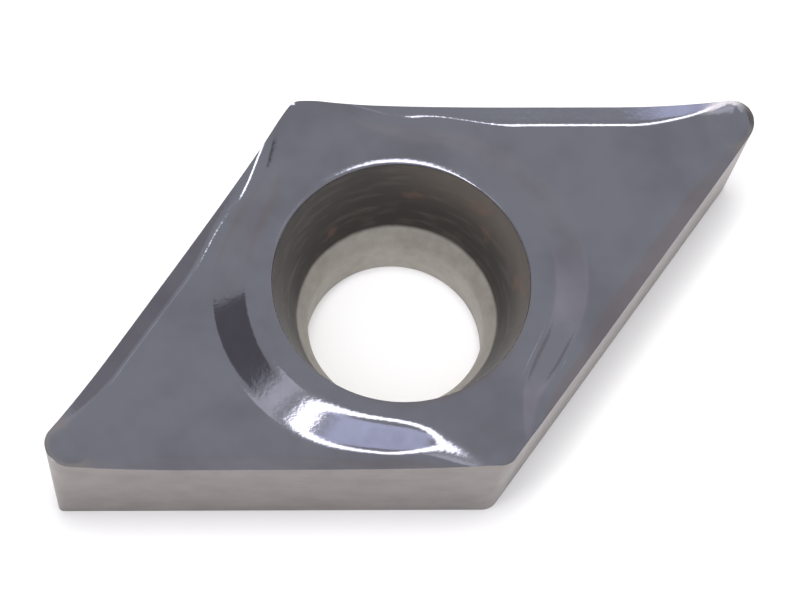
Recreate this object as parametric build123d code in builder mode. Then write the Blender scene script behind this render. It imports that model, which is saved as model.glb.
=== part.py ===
"""Carbide turning insert: 55 degree rhombus, 7 degree clearance, one screw hole.

The insert is one sintered piece.  Its four flanks are ground to a sharp waved
cutting edge, and its polished top is pressed to a form: a flat plateau round
the hole with straight sides to both obtuse corners, a hollow floor towards
each acute nose, a sloping boss wall with a rounded shoulder between plateau
and floor, and a narrow rake band that climbs from the floor to the cutting
edge.

Frame: millimetres, +Z up, origin on the hole's axis at the seating face, the
long diagonal along X and the short diagonal along Y.
"""

import os
from math import acos, cos, radians, sin, tan

from build123d import *

# Plan and flanks
inscribed_circle = 9.525
nose_angle = 55
clearance_angle = 7
thickness = 3.93
plateau_height = 3.87
nose_radius = 0.6
nose_radius_at_seat = 0.12
nose_guide_opening = 1
obtuse_radius = 0.42

# Screw hole, from the seating face up
bore_diameter = 4.2
bore_height = 1.3
seat_diameter = 6.2
seat_bulge = 0.2
rim_radius = 0.1

# Plateau, and the wall that falls from it
plateau_ring_width = 0.55
boss_wall_angle = 26
boss_shoulder_radius = 0.5

# Hollow floor: depth under the plateau at the middle and where it is largest, and its curve
floor_depth_at_middle = 0.15
floor_depth = 0.45
floor_low_reach = 5.8
floor_fall = 2.0

# Cutting edge: height over the plateau at the obtuse corners, largest drop under it, and its curve
edge_lip = 0.03
edge_drop = 0.302
edge_low_reach = 5.5
edge_fall = 2.8

# Rake band inside the cutting edge, and how sharply floor and edge rise to the nose
rake_angle = 20
nose_band_width = 0.2
rise_to_nose = 4.0

# Cross-sections along the long diagonal, and room left outside the finished form
section_count = 16
narrowest_floor = 0.08
spare = 0.8

half_angle = radians(nose_angle / 2)
inner_radius = inscribed_circle / 2
clearance_slope = tan(radians(clearance_angle))
rake_slope = tan(radians(rake_angle))
bore_radius = bore_diameter / 2
seat_radius = seat_diameter / 2
boss_radius = seat_radius + plateau_ring_width
boss_turn = acos(boss_radius * cos(half_angle) / inner_radius)
long_half_diagonal = inner_radius / sin(half_angle)
nose_reach = long_half_diagonal - nose_radius * (1 / sin(half_angle) - 1)
floor_reach = nose_reach - nose_band_width


def dip(x, start, low, end, low_reach, end_reach, fall):
    """Return a depth that falls from start to low at low_reach and rises to end at end_reach."""
    if x < low_reach:
        return low - (low - start) * (1 - x / low_reach) ** fall
    share = min((x - low_reach) / (end_reach - low_reach), 1)
    return low - (low - end) * share**rise_to_nose


def top_section(x):
    """Return one half of the top form's cross-section at x, as (y, z) points."""
    nose_floor_depth = plateau_height + nose_band_width * rake_slope - thickness
    floor = plateau_height - dip(
        x, floor_depth_at_middle, floor_depth, nose_floor_depth, floor_low_reach, floor_reach, floor_fall
    )
    edge_height = plateau_height - dip(
        x, -edge_lip, edge_drop, plateau_height - thickness, edge_low_reach, nose_reach, edge_fall
    )
    if x > floor_reach:
        floor += (x - floor_reach) * rake_slope
        edge_height = floor + nose_band_width * rake_slope
    band_width = (edge_height - floor) / rake_slope
    edge = max(long_half_diagonal - x, 0) * tan(half_angle)
    crease = max(edge - band_width / cos(half_angle), narrowest_floor / 2)
    outside = edge + spare
    climb = (outside - crease) * cos(half_angle) * rake_slope
    return [(outside, -spare), (outside, floor + climb), (crease, floor)]


def rhombus(long_half, angle):
    """Draw a closed rhombus from its half length along X and its half angle at each nose."""
    short_half = long_half * tan(angle)
    Polyline((long_half, 0), (0, short_half), (-long_half, 0), (0, -short_half), close=True)


# Pressed form: a block whose upper side is the insert's polished top
with BuildPart() as pressed_form:
    # A floor between two rake bands, hollowed along the long diagonal, then the stretch where
    # the band rounds the nose
    hollow = [floor_reach * section / section_count for section in range(section_count + 1)]
    for stretch in (hollow, [floor_reach, nose_reach + spare]):
        for x in stretch:
            half = top_section(x)
            with BuildSketch(Plane.YZ.offset(x)):
                with BuildLine():
                    Polyline(half + [(-y, z) for y, z in reversed(half)], close=True)
                make_face()
        loft()
    mirror(about=Plane.YZ)

    # Boss: its plateau is the ring round the hole with straight sides to both obtuse corners,
    # and its wall widens downwards all round
    wall_height = floor_depth + spare
    for drop in (wall_height, 0):
        ring = boss_radius + drop / tan(radians(boss_wall_angle))
        tip = ring / boss_radius * inner_radius / cos(half_angle)
        touch_x, touch_y = ring * sin(boss_turn), ring * cos(boss_turn)
        with BuildSketch(Plane.XY.offset(plateau_height - drop)):
            with BuildLine():
                for end in (1, -1):
                    back, front = (end * touch_x, end * touch_y), (end * touch_x, -end * touch_y)
                    Line((0, end * tip), back)
                    ThreePointArc(back, (end * ring, 0), front)
                    Line(front, (0, -end * tip))
            make_face()
    boss = loft(ruled=True, mode=Mode.PRIVATE)
    shoulder = boss.faces().sort_by(Axis.Z)[-1].edges()
    add(boss.fillet(boss_shoulder_radius, shoulder))

# insert_body: the one solid
with BuildPart() as insert_body:
    # Ground flanks: four planes that lean outwards from the seating face by the clearance angle
    blank_side = 2 * long_half_diagonal + spare
    Box(blank_side, blank_side, thickness + spare, align=(Align.CENTER, Align.CENTER, Align.MIN))
    for side, end in ((1, 1), (-1, 1), (1, -1), (-1, -1)):
        outward = Vector(end * sin(half_angle), side * cos(half_angle), 0)
        edge_point = outward * inner_radius + Vector(0, 0, plateau_height)
        flank_plane = Plane(edge_point, z_dir=outward - Vector(0, 0, clearance_slope))
        split(bisect_by=flank_plane, keep=Keep.BOTTOM)
    upright = insert_body.edges().sort_by(Axis.Y)
    fillet([upright[0], upright[-1]], radius=obtuse_radius)

    # Nose rounding: it shrinks towards the seating face, and its sides open just past the
    # flanks so that the flanks stay flat up to the nose
    guide_angle = half_angle + radians(nose_guide_opening)
    for height in (0, thickness + spare):
        drop = plateau_height - height
        radius = nose_radius - (nose_radius - nose_radius_at_seat) * drop / plateau_height
        nose_centre = (inner_radius - drop * clearance_slope - radius) / sin(half_angle)
        with BuildSketch(Plane.XY.offset(height)) as nose_guide:
            with BuildLine():
                rhombus(nose_centre + radius / sin(guide_angle), guide_angle)
            make_face()
            along = nose_guide.vertices().sort_by(Axis.X)
            fillet([along[0], along[-1]], radius=radius)
    loft(ruled=True, mode=Mode.INTERSECT)
    add(pressed_form.part, mode=Mode.INTERSECT)

    # Screw hole: plain bore under a bowl-shaped seat for the screw's head
    seat_middle = ((bore_radius + seat_radius) / 2 + seat_bulge, (bore_height + plateau_height) / 2)
    with BuildSketch(Plane.XZ):
        with BuildLine():
            Polyline(
                (seat_radius, plateau_height),
                (0, plateau_height),
                (0, 0),
                (bore_radius, 0),
                (bore_radius, bore_height),
            )
            ThreePointArc((bore_radius, bore_height), seat_middle, (seat_radius, plateau_height))
        make_face()
    revolve(axis=Axis.Z, mode=Mode.SUBTRACT)
    rim = insert_body.edges().filter_by(GeomType.CIRCLE).sort_by(Axis.Z)[-1]
    fillet(rim, radius=rim_radius)

insert_body.part.label = "insert_body"
os.makedirs("parts", exist_ok=True)
export_step(insert_body.part, "parts/insert_body.step")
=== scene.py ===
"""Looks, light and camera for a carbide turning insert.

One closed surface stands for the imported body: polished pressed top, ground flanks, bowl-shaped
screw seat, bore and seating face.  It is worked out on a grid whose columns run round the hole
and whose rows run from the seat's rim over the top, down the flank, under the insert and up the
hole again.  Sizes are in millimetres inside the classes and in metres in the meshes.
"""

import logging
from dataclasses import dataclass, field
from enum import Enum
from math import cos, pi, radians, sin, tan
from typing import Any, Callable, Mapping, Optional, Union

import bpy
import numpy as np
from mathutils import Matrix, Vector


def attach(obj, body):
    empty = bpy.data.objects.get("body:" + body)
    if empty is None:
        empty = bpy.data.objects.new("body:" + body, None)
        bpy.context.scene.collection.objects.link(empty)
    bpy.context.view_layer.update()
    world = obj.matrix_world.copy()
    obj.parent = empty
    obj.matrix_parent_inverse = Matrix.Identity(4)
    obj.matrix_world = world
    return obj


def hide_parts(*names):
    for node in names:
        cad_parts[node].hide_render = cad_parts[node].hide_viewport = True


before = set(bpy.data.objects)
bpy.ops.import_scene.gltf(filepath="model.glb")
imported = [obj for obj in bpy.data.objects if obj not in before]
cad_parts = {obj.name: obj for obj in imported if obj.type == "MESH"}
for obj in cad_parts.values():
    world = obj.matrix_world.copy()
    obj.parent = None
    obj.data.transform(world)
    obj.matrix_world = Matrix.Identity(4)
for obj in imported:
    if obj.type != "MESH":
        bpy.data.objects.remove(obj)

MILLIMETRE = 0.001

# Sockets of a Mix node for colours: its two inputs and its result
MIX_FIRST, MIX_SECOND, MIX_RESULT = 6, 7, 2

Triple = tuple[float, float, float]
Colour = Triple
Range = tuple[float, float]
Number = Union["Term", float]
Socket = bpy.types.NodeSocket

log = logging.getLogger("insert")


class Zone(Enum):
    """Finish zones of the insert, in the order of its material slots."""

    TOP = 0
    FLANK = 1
    SEATING_FACE = 2
    HOLE = 3


# ---------------------------------------------------------------- shader maths


class Term:
    """A number that changes over a surface; arithmetic on it adds Math nodes."""

    def __init__(self, graph: "Graph", socket: Socket) -> None:
        """Wrap an output socket of a node in the graph."""
        self.graph = graph
        self.socket = socket

    def __add__(self, other: Number) -> "Term":
        """Return self + other."""
        return self.graph.math("ADD", self, other)

    def __radd__(self, other: float) -> "Term":
        """Return other + self."""
        return self.graph.math("ADD", other, self)

    def __sub__(self, other: Number) -> "Term":
        """Return self - other."""
        return self.graph.math("SUBTRACT", self, other)

    def __rsub__(self, other: float) -> "Term":
        """Return other - self."""
        return self.graph.math("SUBTRACT", other, self)

    def __mul__(self, other: Number) -> "Term":
        """Return self * other."""
        return self.graph.math("MULTIPLY", self, other)

    def __rmul__(self, other: float) -> "Term":
        """Return other * self."""
        return self.graph.math("MULTIPLY", other, self)

    def __truediv__(self, other: Number) -> "Term":
        """Return self / other."""
        return self.graph.math("DIVIDE", self, other)

    def __rtruediv__(self, other: float) -> "Term":
        """Return other / self."""
        return self.graph.math("DIVIDE", other, self)

    def __abs__(self) -> "Term":
        """Return the absolute value."""
        return self.graph.math("ABSOLUTE", self)

    def power(self, exponent: float) -> "Term":
        """Return self raised to an exponent."""
        return self.graph.math("POWER", self, exponent)

    def step(self, low: float, high: float) -> "Term":
        """Return a smooth step of self.

        Args:
            low: the value at which the step is 0; it may be the larger one.
            high: the value at which the step is 1.

        Returns:
            The step, from 0 to 1.
        """
        settings = {"interpolation_type": "SMOOTHSTEP"}
        inputs = {"Value": self, "From Min": low, "From Max": high}
        node = self.graph.node("ShaderNodeMapRange", settings, inputs)
        return Term(self.graph, node.outputs[0])


class Graph:
    """A node tree that is written as expressions."""

    def __init__(self, tree: bpy.types.NodeTree) -> None:
        """Empty the tree and keep it."""
        tree.nodes.clear()
        self.tree = tree

    def node(
        self,
        kind: str,
        settings: Optional[Mapping[str, Any]] = None,
        inputs: Optional[Mapping[Any, Any]] = None,
    ) -> bpy.types.Node:
        """Add a node.

        Args:
            kind: the node's type name.
            settings: properties that are set first, such as a Math node's operation.
            inputs: values, terms or sockets for the node's inputs, by name or number.

        Returns:
            The new node.
        """
        node = self.tree.nodes.new(kind)
        for name, value in (settings or {}).items():
            setattr(node, name, value)
        for key, value in (inputs or {}).items():
            self.feed(node.inputs[key], value)
        return node

    def feed(self, socket: Socket, value: Any) -> None:
        """Link a term or a socket to an input, or set a constant on it.

        Args:
            socket: the input.
            value: a term, a socket, a number, a colour or a vector.
        """
        if isinstance(value, Term):
            self.tree.links.new(value.socket, socket)
        elif isinstance(value, bpy.types.NodeSocket):
            self.tree.links.new(value, socket)
        elif isinstance(value, tuple) and len(value) == 3 and socket.type == "RGBA":
            socket.default_value = (*value, 1.0)
        else:
            socket.default_value = value

    def math(self, operation: str, *values: Number) -> Term:
        """Return the output of a Math node fed with the values in order."""
        node = self.node("ShaderNodeMath", {"operation": operation}, dict(enumerate(values)))
        return Term(self, node.outputs[0])

    def object_place(self) -> Socket:
        """Return the surface's place in the object's own coordinates, in metres."""
        return self.node("ShaderNodeTexCoord").outputs["Object"]

    def axes(self, vector: Socket) -> tuple[Term, Term, Term]:
        """Return a vector's three parts."""
        parts = self.node("ShaderNodeSeparateXYZ", inputs={0: vector}).outputs
        return Term(self, parts[0]), Term(self, parts[1]), Term(self, parts[2])

    def stretch(self, vector: Socket, scale: Triple, turn: float = 0.0) -> Socket:
        """Turn a vector about Z, then scale it along its axes.

        Args:
            vector: the vector.
            scale: the factor along each axis.
            turn: the turn in degrees.

        Returns:
            The new vector's socket.
        """
        rotation = (0.0, 0.0, radians(turn))
        turned = self.node("ShaderNodeMapping", inputs={"Vector": vector, "Rotation": rotation})
        inputs = {"Vector": turned.outputs[0], "Scale": scale}
        return self.node("ShaderNodeMapping", inputs=inputs).outputs[0]

    def noise(
        self, vector: Socket, size: float, detail: float = 2.0, roughness: float = 0.5
    ) -> Term:
        """Add noise.

        Args:
            vector: where it is read.
            size: about how far across its features are, in millimetres.
            detail: how many finer layers it has.
            roughness: how strong the finer layers are.

        Returns:
            The noise, from 0 to 1.
        """
        inputs = {
            "Vector": vector,
            "Scale": 1.0 / (size * MILLIMETRE),
            "Detail": detail,
            "Roughness": roughness,
        }
        node = self.node("ShaderNodeTexNoise", {"noise_dimensions": "3D"}, inputs)
        return Term(self, node.outputs[0])

    def mix(self, share: Number, first: Any, second: Any) -> Socket:
        """Return a colour between two colours or colour sockets."""
        inputs = {"Factor": share, MIX_FIRST: first, MIX_SECOND: second}
        return self.node("ShaderNodeMix", {"data_type": "RGBA"}, inputs).outputs[MIX_RESULT]

    def dot(self, vector: Socket, axis: Vector) -> Term:
        """Add a dot product.

        Args:
            vector: the vector.
            axis: the fixed axis that it is multiplied with.

        Returns:
            The product.
        """
        inputs = {0: vector, 1: tuple(axis)}
        node = self.node("ShaderNodeVectorMath", {"operation": "DOT_PRODUCT"}, inputs)
        return Term(self, node.outputs["Value"])

    def bump(self, height: Term, depth: float) -> Socket:
        """Return a normal from a height of 0 to 1 that stands for a depth in millimetres."""
        inputs = {"Height": height, "Distance": depth * MILLIMETRE, "Strength": 1.0}
        return self.node("ShaderNodeBump", inputs=inputs).outputs[0]

    def surface(self, **inputs: Any) -> None:
        """Finish the tree with a Principled shader.

        Args:
            inputs: what feeds the shader, by the sockets' names with _ for each space.
        """
        named = {name.replace("_", " "): value for name, value in inputs.items()}
        shader = self.node("ShaderNodeBsdfPrincipled", inputs=named)
        self.node("ShaderNodeOutputMaterial", inputs={"Surface": shader.outputs[0]})


def new_material(name: str) -> tuple[bpy.types.Material, Graph]:
    """Make a material with an empty node tree.

    Args:
        name: the material's name.

    Returns:
        The material and its graph.
    """
    material = bpy.data.materials.new(name)
    material.use_nodes = True
    return material, Graph(material.node_tree)


# ---------------------------------------------------------------- finishes


@dataclass(frozen=True)
class PolishedTop:
    """Polished carbide: mid grey, faint clouds and scratches, honed dull round the noses."""

    clean: Colour = (0.180, 0.180, 0.205)
    cloudy: Colour = (0.150, 0.146, 0.168)
    cloud_size: float = 2.2
    cloud_range: Range = (0.35, 0.7)
    ripple_size: float = 0.11
    ripple_depth: float = 0.0016
    scratch_size: float = 0.03
    scratch_stretch: Triple = (0.06, 1.0, 1.0)
    scratch_turn: float = 24.0
    scratch_share: float = 0.25

    honed: Colour = (0.205, 0.193, 0.197)
    nose_centre: float = 9.015
    honed_reach: float = 0.45
    honed_blur: float = 0.10

    roughness: float = 0.075
    cloud_roughness: float = 0.02
    scratch_roughness: float = 0.02
    honed_roughness: float = 0.16

    def honed_share(self, graph: Graph, place: Socket) -> Term:
        """Find the honed rim round each nose.

        Formula: a step on the distance to the nose arc's centre, times one on the distance past
        it along the long diagonal.

        Args:
            graph: the material's graph.
            place: the surface's place.

        Returns:
            1 on the rim, 0 elsewhere.
        """
        x, y, _ = graph.axes(place)
        past, beside = abs(x / MILLIMETRE) - self.nose_centre, y / MILLIMETRE
        reach = (past * past + beside * beside).power(0.5)
        rim = reach.step(self.honed_reach, self.honed_reach + self.honed_blur)
        return rim * past.step(-self.honed_reach, 0.0)

    def material(self) -> bpy.types.Material:
        """Make the finish.

        Returns:
            The material.
        """
        material, graph = new_material("polished_carbide")
        place = graph.object_place()
        cloud = graph.noise(place, self.cloud_size, detail=3.0, roughness=0.6)
        cloud = cloud.step(*self.cloud_range)
        ripple = graph.noise(place, self.ripple_size)
        lengthways = graph.stretch(place, self.scratch_stretch, self.scratch_turn)
        scratch = graph.noise(lengthways, self.scratch_size, detail=1.0)
        honed = self.honed_share(graph, place)
        dulled = self.roughness + cloud * self.cloud_roughness + scratch * self.scratch_roughness
        graph.surface(
            Base_Color=graph.mix(honed, graph.mix(cloud, self.clean, self.cloudy), self.honed),
            Metallic=1.0,
            Roughness=dulled + honed * self.honed_roughness,
            Normal=graph.bump(ripple + scratch * self.scratch_share, self.ripple_depth),
        )
        return material


@dataclass(frozen=True)
class GroundCarbide:
    """Ground carbide: fine grinding lines over faint clouds, duller than the polished top.

    The lines run along the axes on which their stretch is small, after a turn about Z.
    """

    name: str
    light: Colour
    dark: Colour
    roughness: float
    line_size: float
    line_depth: float
    line_grain: float
    line_stretch: Triple
    line_turn: float
    cloud_size: float
    line_share: float = 0.5
    contrast: Range = (0.3, 0.7)
    line_roughness: float = 0.08

    def material(self) -> bpy.types.Material:
        """Make the finish.

        Returns:
            The material.
        """
        material, graph = new_material(self.name)
        place = graph.object_place()
        lengthways = graph.stretch(place, self.line_stretch, self.line_turn)
        line = graph.noise(lengthways, self.line_size, detail=3.0, roughness=self.line_grain)
        cloud = graph.noise(place, self.cloud_size, detail=3.0)
        both = line * self.line_share + cloud * (1.0 - self.line_share)
        graph.surface(
            Base_Color=graph.mix(both.step(*self.contrast), self.dark, self.light),
            Metallic=1.0,
            Roughness=self.roughness + line * self.line_roughness,
            Normal=graph.bump(line, self.line_depth),
        )
        return material


GROUND_FLANK = GroundCarbide(
    name="ground_carbide",
    light=(0.238, 0.208, 0.202),
    dark=(0.168, 0.147, 0.143),
    roughness=0.34,
    line_size=0.035,
    line_depth=0.0009,
    line_grain=0.65,
    line_stretch=(0.02, 0.02, 1.0),
    line_turn=0.0,
    cloud_size=0.7,
)

GROUND_SEATING_FACE = GroundCarbide(
    name="ground_seating_face",
    light=(0.300, 0.292, 0.290),
    dark=(0.220, 0.212, 0.212),
    roughness=0.36,
    line_size=0.045,
    line_depth=0.0008,
    line_grain=0.6,
    line_stretch=(1.0, 0.02, 1.0),
    line_turn=30.0,
    cloud_size=2.4,
)


@dataclass(frozen=True)
class ScrewHole:
    """Screw hole: a dark glossy pressed seat above a light dull sintered bore."""

    seat: Colour = (0.036, 0.031, 0.028)
    seat_light: Colour = (0.072, 0.060, 0.050)
    ring_size: float = 0.12
    ring_stretch: Triple = (0.15, 0.15, 1.0)
    ring_range: Range = (0.45, 0.8)

    # painted sheen: a lighter brown patch that stands in for light caught by the seat's upper right
    # side
    painted_sheen: Colour = (0.125, 0.100, 0.082)
    sheen_across: Range = (0.6, 2.9)
    sheen_up: Range = (2.2, 3.4)
    sheen_share: float = 0.7
    rust: Colour = (0.170, 0.085, 0.055)
    rust_size: float = 0.8
    rust_range: Range = (0.62, 0.75)
    rust_share: float = 0.5

    bore: Colour = (0.440, 0.410, 0.368)
    bore_dark: Colour = (0.330, 0.305, 0.268)
    grain_size: float = 0.3
    cloud_size: float = 0.9
    grain_share: float = 0.5
    bore_range: Range = (0.25, 0.7)

    boundary: float = 1.75
    boundary_blur: float = 0.06
    wander: float = 0.05
    wander_size: float = 0.5

    bore_metallic: float = 0.55
    seat_metallic_drop: float = 0.25
    bore_roughness: float = 0.55
    seat_roughness_drop: float = 0.13
    grain_roughness: float = 0.05
    ring_relief: float = 0.3
    relief_depth: float = 0.0015

    def seat_colour(self, graph: Graph, place: Socket, ring: Term) -> Socket:
        """Colour the seat: faint rings, a painted sheen that lightens its upper right side, and a
        few rust spots.

        Args:
            graph: the material's graph.
            place: the surface's place.
            ring: noise drawn out round the hole.

        Returns:
            The colour's socket.
        """
        x, _, z = graph.axes(place)
        # painted sheen: lighter brown towards the seat's right side and its top
        sheen_mask = (x / MILLIMETRE).step(*self.sheen_across) * (z / MILLIMETRE).step(*self.sheen_up)
        spots = graph.noise(place, self.rust_size).step(*self.rust_range)
        colour = graph.mix(ring.step(*self.ring_range), self.seat, self.seat_light)
        colour = graph.mix(sheen_mask * self.sheen_share, colour, self.painted_sheen)
        return graph.mix(spots * self.rust_share, colour, self.rust)

    def material(self) -> bpy.types.Material:
        """Make the finish.

        Returns:
            The material.
        """
        material, graph = new_material("pressed_hole")
        place = graph.object_place()
        wander = (graph.noise(place, self.wander_size, detail=3.0) - 0.5) * self.wander
        level = graph.axes(place)[2] / MILLIMETRE + wander
        in_seat = level.step(self.boundary - self.boundary_blur, self.boundary + self.boundary_blur)
        grain = graph.noise(place, self.grain_size, detail=4.0, roughness=0.6)
        cloud = graph.noise(place, self.cloud_size, detail=3.0)
        ring = graph.noise(graph.stretch(place, self.ring_stretch), self.ring_size)
        pale = (grain * self.grain_share + cloud * (1.0 - self.grain_share)).step(*self.bore_range)
        bore = graph.mix(pale, self.bore_dark, self.bore)
        dulled = self.bore_roughness - in_seat * self.seat_roughness_drop
        relief = grain * (1.0 - in_seat) + ring * self.ring_relief
        graph.surface(
            Base_Color=graph.mix(in_seat, bore, self.seat_colour(graph, place, ring)),
            Metallic=self.bore_metallic - in_seat * self.seat_metallic_drop,
            Roughness=dulled + grain * self.grain_roughness,
            Normal=graph.bump(relief, self.relief_depth),
        )
        return material


# ---------------------------------------------------------------- the insert


@dataclass
class InsertBody:
    """The insert's one piece, with its sizes in millimetres and its angles in degrees."""

    # plan and flanks
    inscribed_circle: float = 9.525
    nose_angle: float = 55.0
    clearance_angle: float = 7.0
    thickness: float = 3.93
    plateau_height: float = 3.87
    nose_radius: float = 0.6
    nose_radius_at_seat: float = 0.12
    obtuse_radius: float = 0.42
    hone: float = 0.015
    seat_edge_break: float = 0.05

    # screw hole, and how the plateau rolls off towards its rim
    bore_radius: float = 2.1
    bore_height: float = 1.3
    bore_edge_break: float = 0.04
    bore_blend: float = 0.14
    seat_radius: float = 3.1
    seat_bulge: float = 0.2
    rim_radius: float = 0.05
    rim_fall_start: float = 3.32
    rim_fall_radius: float = 1.05

    # plateau: the ring round the hole, the ridges to the obtuse corners, and the wall
    boss_radius: float = 3.65
    ridge_turn: float = 27.6
    ridge_offset: float = 2.816
    ridge_blend: float = 0.50
    boss_wall_angle: float = 25.0
    side_wall_angle: float = 31.5
    boss_shoulder: float = 0.09
    wall_foot: float = 0.07

    # hollow floor along the long diagonal
    shelf_depth: float = 0.345
    shelf_reach: float = 2.5
    step_depth: float = 0.115
    step_start: float = 2.4
    step_end: float = 4.5
    floor_rise_start: float = 7.0
    floor_rise: float = 1.8

    # cutting edge, rake band, and the crease where the band meets the floor
    edge_drop: float = 0.302
    edge_low_reach: float = 5.5
    edge_fall: float = 3.0
    edge_rise_start: float = 6.8
    edge_rise: float = 2.1
    rake_angle: float = 20.0
    nose_band_width: float = 0.30
    narrowest_band: float = 0.06
    crease_blend: float = 0.030
    corner_blend: float = 0.02
    corner_blend_reach: float = 3.0
    nose_blend: float = 0.07
    nose_blend_start: float = 8.4

    # grid: columns of one quarter, rows of each stretch, and where the top's stretches meet
    nose_columns: int = 14
    flank_columns: int = 108
    obtuse_columns: int = 8
    top_rows: tuple[int, int, int, int] = (46, 28, 10, 12)
    flank_rows: int = 12
    face_rows: int = 8
    bowl_rows: int = 48
    rim_rows: int = 8
    wall_stretch: float = 0.6
    wall_stretch_end: float = 4.9
    crease_stretch: float = 0.11
    crease_stretch_share: float = 0.4
    sharp_angle: float = 28.0
    halvings: int = 40
    edge_rounds: int = 60

    half: float = field(init=False)
    inner: float = field(init=False)
    clearance: float = field(init=False)
    rake: float = field(init=False)
    nose_reach: float = field(init=False)

    def __post_init__(self) -> None:
        """Work out the sizes that follow from the others."""
        self.half = radians(self.nose_angle / 2)
        self.inner = self.inscribed_circle / 2
        self.clearance = tan(radians(self.clearance_angle))
        self.rake = tan(radians(self.rake_angle))
        self.nose_reach = (self.inner - self.nose_radius) / sin(self.half) + self.nose_radius

    # -- the top's form

    @staticmethod
    def smooth_max(first: np.ndarray, second: np.ndarray, blend: float) -> np.ndarray:
        """Return the larger of two heights, rounded where they nearly meet.

        Formula: max(a, b) + max(blend - |a - b|, 0) squared / (4 blend).

        Args:
            first: a height for every point.
            second: another height for every point.
            blend: the difference from which the larger one is left as it is.

        Returns:
            The rounded larger height.
        """
        near = np.maximum(blend - np.abs(first - second), 0.0)
        return np.maximum(first, second) + near**2 / (4.0 * blend)

    @staticmethod
    def rise(along: np.ndarray, start: float, end: float, power: float) -> np.ndarray:
        """Return the share of the way from start to end, to a power."""
        return np.clip((along - start) / (end - start), 0.0, 1.0) ** power

    def climb(self, along: np.ndarray, start: float, end: float) -> np.ndarray:
        """Return a smooth step: t t (3 - 2 t), where t is the share of the way to the end."""
        share = self.rise(along, start, end, 1)
        return share**2 * (3.0 - 2.0 * share)

    def floor_height(self, along: np.ndarray) -> np.ndarray:
        """Work out the hollow floor's height along the long diagonal.

        Formula: the plateau's height less a smooth fall to a shelf and a smaller one to the
        hollow, plus a power of the share of the way to the nose.

        Args:
            along: distance from the middle along the long diagonal.

        Returns:
            The height.
        """
        fall = self.shelf_depth * self.climb(along, 0.0, self.shelf_reach)
        fall = fall + self.step_depth * self.climb(along, self.step_start, self.step_end)
        nose_depth = self.plateau_height + self.nose_band_width * self.rake - self.thickness
        climb_back = self.shelf_depth + self.step_depth - nose_depth
        end = self.nose_reach - self.nose_band_width
        share = self.rise(along, self.floor_rise_start, end, self.floor_rise)
        return self.plateau_height - fall + climb_back * share

    def edge_line(self, along: np.ndarray) -> np.ndarray:
        """Work out the height at which the rake band meets the rounded outline.

        Formula: the low place's height, plus a power of the share of the way back to the obtuse
        corner, plus a power of the share of the way on to the nose.

        Args:
            along: distance from the middle along the long diagonal.

        Returns:
            The height.
        """
        low = self.plateau_height - self.edge_drop
        to_corner = self.rise(along, self.edge_low_reach, 0.0, self.edge_fall)
        to_nose = self.rise(along, self.edge_rise_start, self.nose_reach, self.edge_rise)
        return low + self.edge_drop * to_corner + (self.thickness - low) * to_nose

    def band_height(self, along: np.ndarray, inset: np.ndarray) -> np.ndarray:
        """Return the height of the rake band, which falls inwards from the cutting edge."""
        return self.edge_line(along) - inset * self.rake

    def boss_reach(self, x: np.ndarray, y: np.ndarray) -> np.ndarray:
        """Work out how far points lie outside the plateau's outline.

        The plateau is the ring round the hole and a ridge from it to each obtuse corner.
        Formula: the smooth smaller of the distance to the ring and that to the ridge's side.

        Args:
            x: place along the long diagonal.
            y: place along the short diagonal.

        Returns:
            The distance, less than 0 inside the outline.
        """
        ax, ay = np.abs(x), np.abs(y)
        turn = radians(self.ridge_turn)
        ring = np.hypot(x, y) - self.boss_radius
        ridge = ax * cos(turn) + ay * sin(turn) - self.ridge_offset
        ridge = np.where(np.arctan2(ay, ax) > turn, ridge, ring + self.ridge_blend)
        return -self.smooth_max(-ring, -ridge, self.ridge_blend)

    def inset(self, x: np.ndarray, y: np.ndarray) -> np.ndarray:
        """Work out the distance inwards from the rounded outline at the plateau's height.

        Formula: distance to the flank line, or radius minus distance to the corner's centre
        where the nearest outline point lies on a corner's arc.

        Args:
            x: place along the long diagonal.
            y: place along the short diagonal.

        Returns:
            The distance.
        """
        ax, ay = np.abs(x), np.abs(y)
        nose = (self.inner - self.nose_radius) / sin(self.half)
        obtuse = (self.inner - self.obtuse_radius) / cos(self.half)
        flat = self.inner - ax * sin(self.half) - ay * cos(self.half)
        past_nose = (ax - nose) * cos(self.half) - ay * sin(self.half) > 0.0
        past_obtuse = (ay - obtuse) * sin(self.half) - ax * cos(self.half) > 0.0
        round_nose = self.nose_radius - np.hypot(ax - nose, ay)
        round_obtuse = self.obtuse_radius - np.hypot(ax, ay - obtuse)
        return np.where(past_nose, round_nose, np.where(past_obtuse, round_obtuse, flat))

    def boss_height(self, x: np.ndarray, y: np.ndarray) -> np.ndarray:
        """Work out the height of the plateau and of the wall that falls from it.

        Formula: the plateau's height less the distance outside its outline times the wall's
        slope, which is steeper to the sides by the square of y over the radius.

        Args:
            x: place along the long diagonal.
            y: place along the short diagonal.

        Returns:
            The height, with a rounded shoulder.
        """
        wall, side_wall = tan(radians(self.boss_wall_angle)), tan(radians(self.side_wall_angle))
        drop = self.boss_reach(x, y) * (wall + (side_wall - wall) * y**2 / (x**2 + y**2))
        return self.plateau_height - self.smooth_max(drop, np.zeros_like(drop), self.boss_shoulder)

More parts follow.
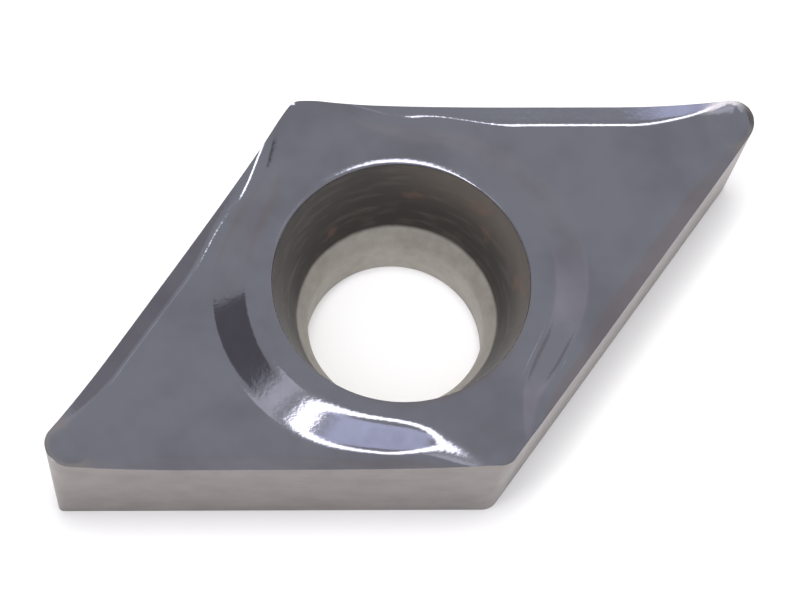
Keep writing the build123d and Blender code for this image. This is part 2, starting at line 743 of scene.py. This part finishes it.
    def top_height(self, x: np.ndarray, y: np.ndarray) -> np.ndarray:
        """Work out the height of the pressed top.

        Formula: the smooth larger of the floor and the boss, and of that and the rake band.  The
        crease is rounder near the corners by a bell curve and a smooth step, and the plateau
        rolls off towards the hole's rim by the square of the distance.

        Args:
            x: place along the long diagonal.
            y: place along the short diagonal.

        Returns:
            The height.
        """
        along = np.abs(x)
        floor = self.floor_height(along)
        pressed = self.smooth_max(floor, self.boss_height(x, y), self.wall_foot)
        pressed = np.minimum(pressed, np.maximum(floor, self.plateau_height))
        corner = np.exp(-((along / self.corner_blend_reach) ** 2))
        nose = self.climb(along, self.nose_blend_start, self.nose_reach)
        blend = self.crease_blend + self.corner_blend * corner + self.nose_blend * nose
        top = self.smooth_max(pressed, self.band_height(along, self.inset(x, y)), blend)
        roll = np.maximum(self.rim_fall_start - np.hypot(x, y), 0.0)
        return top - roll**2 / (2.0 * self.rim_fall_radius)

    # -- the outline

    def columns(self) -> tuple[np.ndarray, np.ndarray, np.ndarray, np.ndarray]:
        """Lay the grid's columns round the outline.

        Formula: one quarter runs round the nose's arc, along the flank and round the obtuse
        arc; the other quarters mirror it.

        Returns:
            Each column's share of the nose, its normal's angle, and its signs along X and Y.
        """
        tilt = pi / 2 - self.half
        share = np.concatenate([
            np.ones(self.nose_columns),
            np.linspace(1.0, 0.0, self.flank_columns, endpoint=False),
            np.zeros(self.obtuse_columns + 1),
        ])
        angle = np.concatenate([
            np.linspace(0.0, tilt, self.nose_columns, endpoint=False),
            np.full(self.flank_columns, tilt),
            np.linspace(tilt, pi / 2, self.obtuse_columns + 1),
        ])
        there = np.arange(len(share))
        back = there[::-1]
        quarters = [there, back[1:], there[1:], back[1:-1]]
        order, counts = np.concatenate(quarters), [len(quarter) for quarter in quarters]
        sign_x = np.repeat([1.0, -1.0, -1.0, 1.0], counts)
        sign_y = np.repeat([1.0, 1.0, -1.0, -1.0], counts)
        return share[order], angle[order], sign_x, sign_y

    def outline(self, height: np.ndarray, inset: float = 0.0) -> tuple[np.ndarray, np.ndarray]:
        """Work out the outline's points for every column.

        Formula: corner centre plus corner radius along the column's normal, with centre and
        radius blended from nose to obtuse corner along the flank.

        Args:
            height: each column's height.
            inset: how far the outline is drawn in.

        Returns:
            The points' x and y.
        """
        share, angle, sign_x, sign_y = self.columns()
        drop = self.plateau_height - height
        inner = self.inner - drop * self.clearance
        nose_shrink = (self.nose_radius - self.nose_radius_at_seat) * drop / self.plateau_height
        nose_radius = self.nose_radius - nose_shrink
        centre_x = share * (inner - nose_radius) / sin(self.half)
        centre_y = (1.0 - share) * (inner - self.obtuse_radius) / cos(self.half)
        radius = share * nose_radius + (1.0 - share) * self.obtuse_radius - inset
        x, y = centre_x + radius * np.cos(angle), centre_y + radius * np.sin(angle)
        return sign_x * x, sign_y * y

    def edge_height(self) -> np.ndarray:
        """Find where the rake band cuts the flanks, by repeated approach.

        Formula: each round takes the mean of the height and of the top's height on the outline
        at that height.

        Returns:
            The cutting edge's height for every column.
        """
        height = np.full(len(self.columns()[0]), self.plateau_height)
        for _ in range(self.edge_rounds):
            height = 0.5 * (height + self.top_height(*self.outline(height)))
        return height

    # -- the grid

    def halve(
        self, low: np.ndarray, high: np.ndarray, past: Callable[[np.ndarray], np.ndarray]
    ) -> np.ndarray:
        """Find where a test turns true, by repeated halving.

        Args:
            low: where it is still false.
            high: where it is true.
            past: the test, of places between low and high.

        Returns:
            The last place found at which it is false.
        """
        for _ in range(self.halvings):
            middle = (low + high) / 2
            beyond = past(middle)
            low, high = np.where(beyond, low, middle), np.where(beyond, middle, high)
        return low

    def rim_arc(self, reach: np.ndarray) -> tuple[np.ndarray, np.ndarray]:
        """Lay the rim's arc so that it touches the rolled-off plateau.

        Args:
            reach: the radius at which it touches.

        Returns:
            The arc's centre, as radius and height, and the plateau's tilt where it touches.
        """
        fall = self.rim_fall_start - reach
        tilt = np.arctan(fall / self.rim_fall_radius)
        level = self.plateau_height - fall**2 / (2.0 * self.rim_fall_radius)
        centre = [reach + self.rim_radius * np.sin(tilt), level - self.rim_radius * np.cos(tilt)]
        return np.array(centre), tilt

    def hole_profile(self) -> tuple[np.ndarray, np.ndarray, list[Zone]]:
        """Draw the hole's profile up the bore and the bowl and round the rim.

        Formula: the smooth larger of the bore's radius and the circle through the bore's top, the
        bulged middle and the seat's top; the rim is an arc that touches the circle and the
        rolled-off plateau, found by halving.

        Returns:
            The profile's radii and heights, and each point's zone.
        """
        start = np.array([self.bore_radius, self.bore_height])
        end = np.array([self.seat_radius, self.plateau_height])
        middle = (start + end) / 2 + np.array([self.seat_bulge, 0.0])
        system = 2.0 * np.array([middle - start, end - start])
        squares = [middle @ middle - start @ start, end @ end - start @ start]
        centre = np.linalg.solve(system, squares)
        radius = float(np.hypot(*(start - centre)))

        def clear(reach: np.ndarray) -> np.ndarray:
            """Return whether the rim's arc no longer reaches the circle."""
            return np.hypot(*(self.rim_arc(reach)[0] - centre)) > radius + self.rim_radius

        arc, tilt = self.rim_arc(self.halve(self.seat_radius, self.rim_fall_start, clear))
        last = np.arctan2(*(arc - centre)[::-1])
        up = np.linspace(self.bore_edge_break, centre[1] + radius * np.sin(last), self.bowl_rows)
        circle = centre[0] + np.sqrt(radius**2 - (up - centre[1]) ** 2)
        bowl = self.smooth_max(np.full_like(up, self.bore_radius), circle, self.bore_blend)
        turn = np.linspace(last + pi, pi / 2 + tilt, self.rim_rows)[1:]
        radii = np.concatenate([bowl, arc[0] + self.rim_radius * np.cos(turn)])
        heights = np.concatenate([up, arc[1] + self.rim_radius * np.sin(turn)])
        return radii, heights, [Zone.HOLE] * len(up) + [Zone.TOP] * len(turn)

    def crease_reach(
        self, polar: np.ndarray, rim_reach: float, edge_reach: np.ndarray
    ) -> np.ndarray:
        """Find how far out each column meets the crease between floor and rake band.

        Args:
            polar: each column's angle round the hole.
            rim_reach: the radius of the hole's rim.
            edge_reach: how far out each column meets the cutting edge.

        Returns:
            Each column's distance from the hole's axis.
        """

        def on_band(reach: np.ndarray) -> np.ndarray:
            """Return whether the band lies above the floor."""
            x, y = reach * np.cos(polar), reach * np.sin(polar)
            return self.band_height(np.abs(x), self.inset(x, y)) > self.floor_height(np.abs(x))

        crease = self.halve(np.full_like(edge_reach, rim_reach), edge_reach, on_band)
        return np.minimum(crease, edge_reach - self.narrowest_band)

    def top_reaches(
        self, polar: np.ndarray, rim_reach: float, edge_reach: np.ndarray
    ) -> list[np.ndarray]:
        """Space the top's rows: rim, wall, floor, crease, rake band and honed edge.

        Args:
            polar: each column's angle round the hole.
            rim_reach: the radius of the hole's rim.
            edge_reach: how far out each column meets the cutting edge.

        Returns:
            Each row's distances from the hole's axis, without the row on the rim.
        """
        crease = self.crease_reach(polar, rim_reach, edge_reach)
        wall_end = rim_reach + self.wall_stretch * (crease - rim_reach)
        wall_end = np.minimum(wall_end, self.wall_stretch_end)
        margin = self.crease_stretch_share * (edge_reach - crease)
        margin = np.minimum(self.crease_stretch, margin)
        rim = np.full_like(crease, rim_reach)
        stops = [rim, wall_end, crease - margin, crease + margin, edge_reach]
        reaches = [
            start + (end - start) * share
            for start, end, count in zip(stops, stops[1:], self.top_rows)
            for share in np.linspace(0.0, 1.0, count, endpoint=False)
        ]
        return reaches[1:-1] + [edge_reach - self.hone]

    def rows(self) -> tuple[np.ndarray, list[Zone]]:
        """Work out the grid from the rim over the top, down, under and up the hole.

        Returns:
            The points, row by row in millimetres, and each row's zone.
        """
        points: list[np.ndarray] = []
        zones: list[Zone] = []

        def add(x: np.ndarray, y: np.ndarray, z: Union[np.ndarray, float], zone: Zone) -> None:
            """Keep one row."""
            points.append(np.stack([x, y, np.broadcast_to(z, x.shape)], axis=1))
            zones.append(zone)

        edge_z = self.edge_height()
        edge_x, edge_y = self.outline(edge_z)
        polar = np.arctan2(edge_y, edge_x)
        ray_x, ray_y = np.cos(polar), np.sin(polar)
        radii, heights, hole_zones = self.hole_profile()

        for reach in self.top_reaches(polar, radii[-1], np.hypot(edge_x, edge_y)):
            x, y = reach * ray_x, reach * ray_y
            add(x, y, self.top_height(x, y), Zone.TOP)
        for share in np.linspace(0.0, 1.0, self.flank_rows):
            height = (edge_z - self.hone) * (1.0 - share) + self.seat_edge_break * share
            add(*self.outline(height), height, Zone.FLANK)
        foot_x, foot_y = self.outline(np.zeros_like(edge_z), inset=self.seat_edge_break)
        bore_reach = self.bore_radius + self.bore_edge_break
        for share in np.linspace(0.0, 1.0, self.face_rows):
            x = foot_x + (bore_reach * ray_x - foot_x) * share
            y = foot_y + (bore_reach * ray_y - foot_y) * share
            add(x, y, 0.0, Zone.SEATING_FACE)
        for radius, height, zone in zip(radii, heights, hole_zones):
            add(radius * ray_x, radius * ray_y, height, zone)
        return np.array(points), zones

    def build(self) -> bpy.types.Object:
        """Build the insert as one closed mesh, its rows and columns joined in rings.

        Returns:
            The mesh object, with its zones as material slots.
        """
        points, zones = self.rows()
        row_count, column_count = points.shape[:2]
        row = np.arange(row_count)[:, None]
        column = np.arange(column_count)[None, :]
        start, next_start = row * column_count, (row + 1) % row_count * column_count
        next_column = (column + 1) % column_count
        corners = [
            start + column, next_start + column, next_start + next_column, start + next_column,
        ]
        faces = np.stack(np.broadcast_arrays(*corners), axis=-1).reshape(-1, 4)
        slots = np.repeat([zone.value for zone in zones], column_count)
        mesh = bpy.data.meshes.new("insert")
        mesh.vertices.add(row_count * column_count)
        mesh.vertices.foreach_set("co", (points.reshape(-1) * MILLIMETRE).astype(np.float32))
        mesh.loops.add(faces.size)
        mesh.loops.foreach_set("vertex_index", faces.reshape(-1).astype(np.int32))
        mesh.polygons.add(len(faces))
        mesh.polygons.foreach_set("loop_start", np.arange(0, faces.size, 4, dtype=np.int32))
        mesh.polygons.foreach_set("material_index", slots.astype(np.int32))
        mesh.polygons.foreach_set("use_smooth", np.ones(len(faces), dtype=bool))
        mesh.update(calc_edges=True)
        mesh.validate()
        mesh.set_sharp_from_angle(angle=radians(self.sharp_angle))
        piece = bpy.data.objects.new("insert", mesh)
        bpy.context.scene.collection.objects.link(piece)
        return piece

    def dress(self, piece: bpy.types.Object) -> None:
        """Give the piece its finishes and its body, and hide the imported part that it stands for.

        Args:
            piece: the insert's mesh object.
        """
        for finish in (PolishedTop(), GROUND_FLANK, GROUND_SEATING_FACE, ScrewHole()):
            piece.data.materials.append(finish.material())
        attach(piece, "root")
        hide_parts("insert_body")


# ---------------------------------------------------------------- studio


@dataclass(frozen=True)
class Card:
    """A soft lamp or a dark card that the polished top mirrors.

    Its place is given in degrees from straight above the insert: x to the picture's right, y to
    its back.  The turn is the angle from x to the card's length.
    """

    name: str
    x: float
    y: float
    length: float
    width: float
    turn: float
    blur: float
    light: Colour
    mottle: float = 0.0

    def share(self, x: Term, y: Term) -> Term:
        """Mask the card.

        Formula: a smooth step across the blur at each end, times one at each side.

        Args:
            x: degrees to the picture's right.
            y: degrees to the picture's back.

        Returns:
            1 within the card, 0 outside it.
        """
        turn = radians(self.turn)
        along = abs((x - self.x) * cos(turn) + (y - self.y) * sin(turn))
        across = abs((y - self.y) * cos(turn) - (x - self.x) * sin(turn))
        end, side = self.length / 2, self.width / 2
        within_ends = along.step(end + self.blur, end - self.blur)
        return within_ends * across.step(side + self.blur, side - self.blur)


@dataclass
class Studio:
    """Camera, floor and light round the insert; distances in millimetres, angles in degrees."""

    looks_along: float = 54.023
    looks_down: float = 66.135
    roll: float = 7.617
    distance: float = 362.147
    target: Triple = (0.7502, 0.9918, 0.0)
    lens: float = 675.0
    sensor: float = 36.0
    nearest: float = 10.0
    farthest: float = 10000.0

    floor_half: float = 400.0
    floor_colour: Colour = (0.80, 0.785, 0.765)
    floor_glow: Colour = (1.0, 1.0, 1.0)
    floor_lift: float = 0.12

    lamp_power: float = 0.24
    lamp_height: float = 260.0
    lamp_size: float = 90.0

    low_light: Colour = (1.0, 0.98, 1.0)
    high_light: Colour = (0.94, 0.97, 1.0)
    light_climb: Range = (0.0, 0.9)
    mottle_size: float = 22.0
    mottle_range: Range = (0.45, 0.65)
    cards: tuple[Card, ...] = (
        Card("back wash", -24.0, 46.0, 40.0, 34.0, 20.0, 9.0, (0.96, 0.90, 0.88)),
        Card("right wash", 50.0, 30.0, 20.0, 34.0, 90.0, 7.0, (1.16, 1.14, 1.20)),
        Card("dark card left", -45.9, 1.2, 17.2, 31.0, 8.0, 0.7, (0.36, 0.34, 0.37)),
        Card("streak", -27.5, -11.5, 30.0, 7.5, 53.0, 1.5, (2.05, 2.06, 2.20), 0.45),
        Card("violet fill", -4.0, -28.7, 26.0, 22.0, 0.0, 3.0, (2.2, 2.3, 2.9), 0.5),
        Card("strip lamp", -12.7, -11.3, 60.0, 7.4, 53.2, 1.0, (8.0, 8.0, 8.3)),
        Card("dark card right", 38.5, 10.2, 20.0, 10.0, 40.0, 2.0, (0.74, 0.71, 0.74)),
        Card("edge lamp", 16.0, 16.2, 8.0, 4.0, 64.0, 1.2, (1.5, 1.5, 1.7)),
    )

    def direction(self, azimuth: float, elevation: float) -> Vector:
        """Return a direction from the insert; azimuth 0 is the picture's right, 90 its back."""
        level, turn = cos(radians(elevation)), radians(self.looks_along - 90.0 + azimuth)
        return Vector((level * cos(turn), level * sin(turn), sin(radians(elevation))))

    def place_camera(self) -> None:
        """Make the camera and make it the scene's own."""
        forward = self.direction(90.0, -self.looks_down)
        right = forward.cross(Vector((0.0, 0.0, 1.0))).normalized()
        upward = right.cross(forward)
        turn = radians(self.roll)
        side = right * cos(turn) + upward * sin(turn)
        top = upward * cos(turn) - right * sin(turn)
        data = bpy.data.cameras.new("camera")
        data.lens = self.lens
        data.sensor_width = self.sensor
        data.clip_start = self.nearest * MILLIMETRE
        data.clip_end = self.farthest * MILLIMETRE
        camera = bpy.data.objects.new("camera", data)
        matrix = Matrix((side, top, -forward)).transposed().to_4x4()
        matrix.translation = (Vector(self.target) - forward * self.distance) * MILLIMETRE
        camera.matrix_world = matrix
        bpy.context.scene.collection.objects.link(camera)
        bpy.context.scene.camera = camera

    def lay_floor(self) -> None:
        """Make the pale floor: it takes the shadow and shows white round the insert."""
        half = self.floor_half * MILLIMETRE
        corners = [(-half, -half, 0.0), (half, -half, 0.0), (half, half, 0.0), (-half, half, 0.0)]
        mesh = bpy.data.meshes.new("floor")
        mesh.from_pydata(corners, [], [(0, 1, 2, 3)])
        material, graph = new_material("pale_floor")
        diffuse = graph.node("ShaderNodeBsdfDiffuse", inputs={"Color": self.floor_colour})
        path = graph.node("ShaderNodeLightPath").outputs
        seen = graph.math("MAXIMUM", *(
            Term(graph, path[kind]) for kind in ("Is Camera Ray", "Is Glossy Ray")
        ))
        inputs = {"Color": self.floor_glow, "Strength": seen * self.floor_lift}
        glow = graph.node("ShaderNodeEmission", inputs=inputs)
        inputs = {0: diffuse.outputs[0], 1: glow.outputs[0]}
        both = graph.node("ShaderNodeAddShader", inputs=inputs)
        graph.node("ShaderNodeOutputMaterial", inputs={"Surface": both.outputs[0]})
        mesh.materials.append(material)
        floor = bpy.data.objects.new("floor", mesh)
        bpy.context.scene.collection.objects.link(floor)

    def light_world(self) -> None:
        """Make the soft surrounding light with the lamps and cards that the top mirrors.

        Formula: a direction's place on the cards' chart is its two level parts times its angle
        from straight above over that angle's sine.
        """
        world = bpy.data.worlds.new("studio")
        world.use_nodes = True
        graph = Graph(world.node_tree)
        towards = graph.node("ShaderNodeTexCoord").outputs["Generated"]
        height = graph.axes(towards)[2]
        colour = graph.mix(height.step(*self.light_climb), self.low_light, self.high_light)
        never_nought = 1.0001
        sine = (never_nought - height * height).power(0.5)
        spread = graph.math("ARCCOSINE", height) * (180.0 / pi) / sine
        x = graph.dot(towards, self.direction(0.0, 0.0)) * spread
        y = graph.dot(towards, self.direction(90.0, 0.0)) * spread
        uneven = graph.noise(towards, self.mottle_size).step(*self.mottle_range)
        for card in self.cards:
            share = card.share(x, y)
            if card.mottle:
                share = share * (1.0 - uneven * card.mottle)
            colour = graph.mix(share, colour, card.light)
        background = graph.node("ShaderNodeBackground", inputs={"Color": colour, "Strength": 1.0})
        graph.node("ShaderNodeOutputWorld", inputs={"Surface": background.outputs[0]})
        bpy.context.scene.world = world

    def hang_lamp(self) -> None:
        """Hang the wide lamp straight above, which throws the small shadow at the foot."""
        data = bpy.data.lights.new("top_lamp", "AREA")
        data.shape = "DISK"
        data.size = self.lamp_size * MILLIMETRE
        data.energy = self.lamp_power
        lamp = bpy.data.objects.new("top_lamp", data)
        lamp.location = (0.0, 0.0, self.lamp_height * MILLIMETRE)
        lamp.visible_glossy = False
        bpy.context.scene.collection.objects.link(lamp)

    def set_view(self) -> None:
        """Show colours as they are lit, with no film curve."""
        bpy.context.scene.view_settings.view_transform = "Standard"

    def set_up(self) -> None:
        """Set up the camera, the floor and the light."""
        self.place_camera()
        self.lay_floor()
        self.light_world()
        self.hang_lamp()
        self.set_view()


def main() -> None:
    """Build the insert and its studio, and log how many points and faces the insert has."""
    logging.basicConfig(level=logging.INFO, format="%(name)s: %(message)s")
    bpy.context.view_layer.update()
    body = InsertBody()
    piece = body.build()
    body.dress(piece)
    points, faces = len(piece.data.vertices), len(piece.data.polygons)
    log.info("%s: %d points, %d faces", piece.name, points, faces)
    Studio().set_up()


if __name__ == "__main__":
    main()
